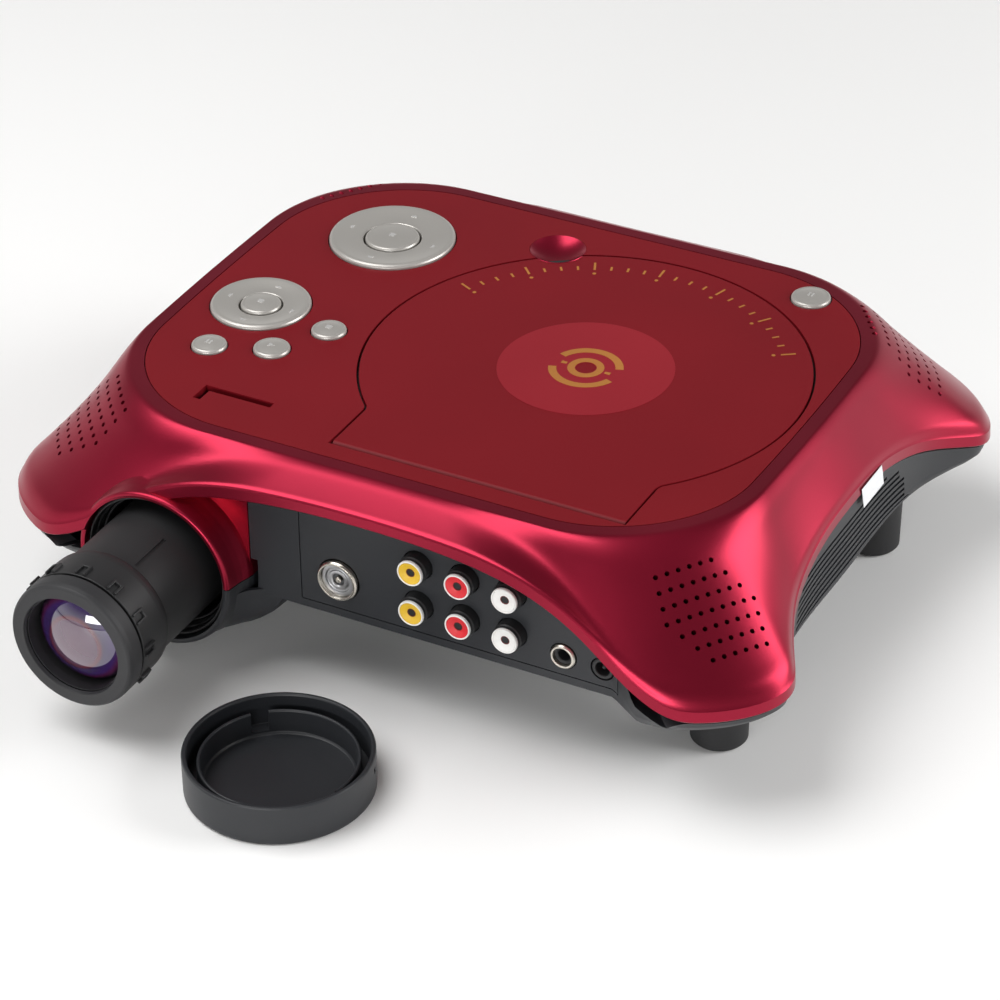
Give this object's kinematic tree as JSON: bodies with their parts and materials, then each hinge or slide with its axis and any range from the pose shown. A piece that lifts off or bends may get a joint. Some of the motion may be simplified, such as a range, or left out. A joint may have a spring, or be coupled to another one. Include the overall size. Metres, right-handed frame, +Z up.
{
  "type": "disc video projector",
  "caption": "Portable disc player and projector: flared shell on feet, hinged disc lid, silver keys, side sockets, focusing lens and loose lens cap.",
  "frame": {"origin": "middle of the bounding box on the surface that the projector and its loose cap stand on", "axes": "+Z up, -Y the way the lens looks, +X towards the right seen from the lens side"},
  "size_m": [0.249, 0.2548, 0.0729],
  "materials": {
    "shell_red": "metallic red lacquer, satin",
    "panel_red": "deep red, semi-gloss",
    "satin_black": "charcoal black, fine satin",
    "matte_black": "matte black",
    "rubber_black": "matte rubber",
    "silver_key": "satin silver paint",
    "steel": "brushed steel",
    "nickel": "nickel plate",
    "lens_glass": "coated optical glass",
    "jack_yellow": "moulded yellow",
    "jack_red": "moulded red",
    "jack_white": "moulded white",
    "circuit_green": "solder mask",
    "grey_plastic": "moulded grey",
    "heat_aluminium": "extruded",
    "white_plastic": "moulded acetal"
  },
  "bodies": {
    "housing": {"upper_shell": "shell_red", "top_panel": "panel_red", "lid_pin": "steel", "bottom_shell": "satin_black", "port_panel": "satin_black", "foot_fl": "rubber_black", "foot_fr": "rubber_black", "foot_bl": "rubber_black", "foot_br": "rubber_black", "jack_yellow_upper": "jack_yellow", "jack_red_upper": "jack_red", "jack_white_upper": "jack_white", "jack_yellow_lower": "jack_yellow", "jack_red_lower": "jack_red", "jack_white_lower": "jack_white", "antenna_jack": "nickel", "phones_jack": "nickel", "power_inlet": "matte_black", "card_reader": "grey_plastic", "main_board": "circuit_green", "port_board": "circuit_green", "key_board": "circuit_green", "power_switch": "grey_plastic", "lens_sleeve": "matte_black", "disc_tray": "matte_black", "drive_deck": "steel", "spindle_motor": "steel", "guide_rail_l": "steel", "guide_rail_r": "steel", "picture_panel": "grey_plastic", "condenser_lens": "lens_glass", "lamp_board": "heat_aluminium", "heat_sink": "heat_aluminium", "fan_housing": "matte_black", "speaker_r": "grey_plastic", "speaker_l": "grey_plastic", "case_screw_1": "steel", "case_screw_2": "steel", "case_screw_3": "steel", "case_screw_4": "steel"},
    "lid": {"disc_lid": "panel_red"},
    "turntable": {"turntable": "matte_black"},
    "pickup": {"optical_pickup": "grey_plastic"},
    "sled_wheel": {"sled_wheel": "white_plastic"},
    "fan_rotor": {"fan_rotor": "matte_black"},
    "focus_carrier": {"focus_carrier": "matte_black"},
    "lens_unit": {"lens_barrel": "matte_black", "focus_ring": "matte_black", "front_ring": "matte_black", "front_lens": "lens_glass", "rear_lens": "lens_glass"},
    "cap": {"lens_cap": "satin_black"},
    "menu_ring": {"menu_ring": "silver_key"},
    "menu_key": {"menu_key": "silver_key"},
    "play_ring": {"play_ring": "silver_key"},
    "play_key": {"play_key": "silver_key"},
    "key_a": {"key_a": "silver_key"},
    "key_b": {"key_b": "silver_key"},
    "key_c": {"key_c": "silver_key"},
    "power_key": {"power_key": "silver_key"}
  },
  "joints": [
    {"name": "lid_hinge", "type": "hinge", "parent": "housing", "child": "lid", "pos_m": [0.0245, -0.0338, 0.0691], "axis": [1, 0, 0], "range_deg": [0, 70]},
    {"name": "turntable_spin", "type": "hinge", "parent": "housing", "child": "turntable", "pos_m": [0.0245, 0.0327, 0.063], "axis": [0, 0, 1], "continuous": true},
    {"name": "pickup_slide", "type": "slide", "parent": "housing", "child": "pickup", "axis": [0, 1, 0], "range_m": [-0.005, 0.024]},
    {"name": "sled_wheel_spin", "type": "hinge", "parent": "housing", "child": "sled_wheel", "pos_m": [0.0497, 0.0707, 0.052], "axis": [0, 0, 1], "range_deg": [-225, 60]},
    {"name": "fan_spin", "type": "hinge", "parent": "housing", "child": "fan_rotor", "pos_m": [-0.0652, 0.058, 0.046], "axis": [0, 1, 0], "continuous": true},
    {"name": "focus_travel", "type": "slide", "parent": "housing", "child": "focus_carrier", "axis": [0, -1, 0], "range_m": [-0.0072, 0.0072]},
    {"name": "focus_turn", "type": "hinge", "parent": "focus_carrier", "child": "lens_unit", "pos_m": [-0.0652, -0.0696, 0.032], "axis": [0, -1, 0], "range_deg": [-180, 180]},
    {"name": "cap_lift", "type": "slide", "parent": "housing", "child": "cap", "axis": [0, 0, 1], "range_m": [0, 0.05]},
    {"name": "menu_ring_press", "type": "slide", "parent": "housing", "child": "menu_ring", "axis": [0, 0, -1], "range_m": [0, 0.0007], "stiffness_N_per_m": 400},
    {"name": "menu_key_press", "type": "slide", "parent": "housing", "child": "menu_key", "axis": [0, 0, -1], "range_m": [0, 0.0007], "stiffness_N_per_m": 300},
    {"name": "play_ring_press", "type": "slide", "parent": "housing", "child": "play_ring", "axis": [0, 0, -1], "range_m": [0, 0.0007], "stiffness_N_per_m": 400},
    {"name": "play_key_press", "type": "slide", "parent": "housing", "child": "play_key", "axis": [0, 0, -1], "range_m": [0, 0.0007], "stiffness_N_per_m": 300},
    {"name": "key_a_press", "type": "slide", "parent": "housing", "child": "key_a", "axis": [0, 0, -1], "range_m": [0, 0.0007], "stiffness_N_per_m": 300},
    {"name": "key_b_press", "type": "slide", "parent": "housing", "child": "key_b", "axis": [0, 0, -1], "range_m": [0, 0.0007], "stiffness_N_per_m": 300},
    {"name": "key_c_press", "type": "slide", "parent": "housing", "child": "key_c", "axis": [0, 0, -1], "range_m": [0, 0.0007], "stiffness_N_per_m": 300},
    {"name": "power_key_press", "type": "slide", "parent": "housing", "child": "power_key", "axis": [0, 0, -1], "range_m": [0, 0.0007], "stiffness_N_per_m": 300}
  ],
  "couplings": [
    {"joint": "sled_wheel_spin", "follows": "pickup_slide", "rad_per_m": -158.73},
    {"joint": "focus_turn", "follows": "focus_travel", "rad_per_m": 434.78}
  ]
}
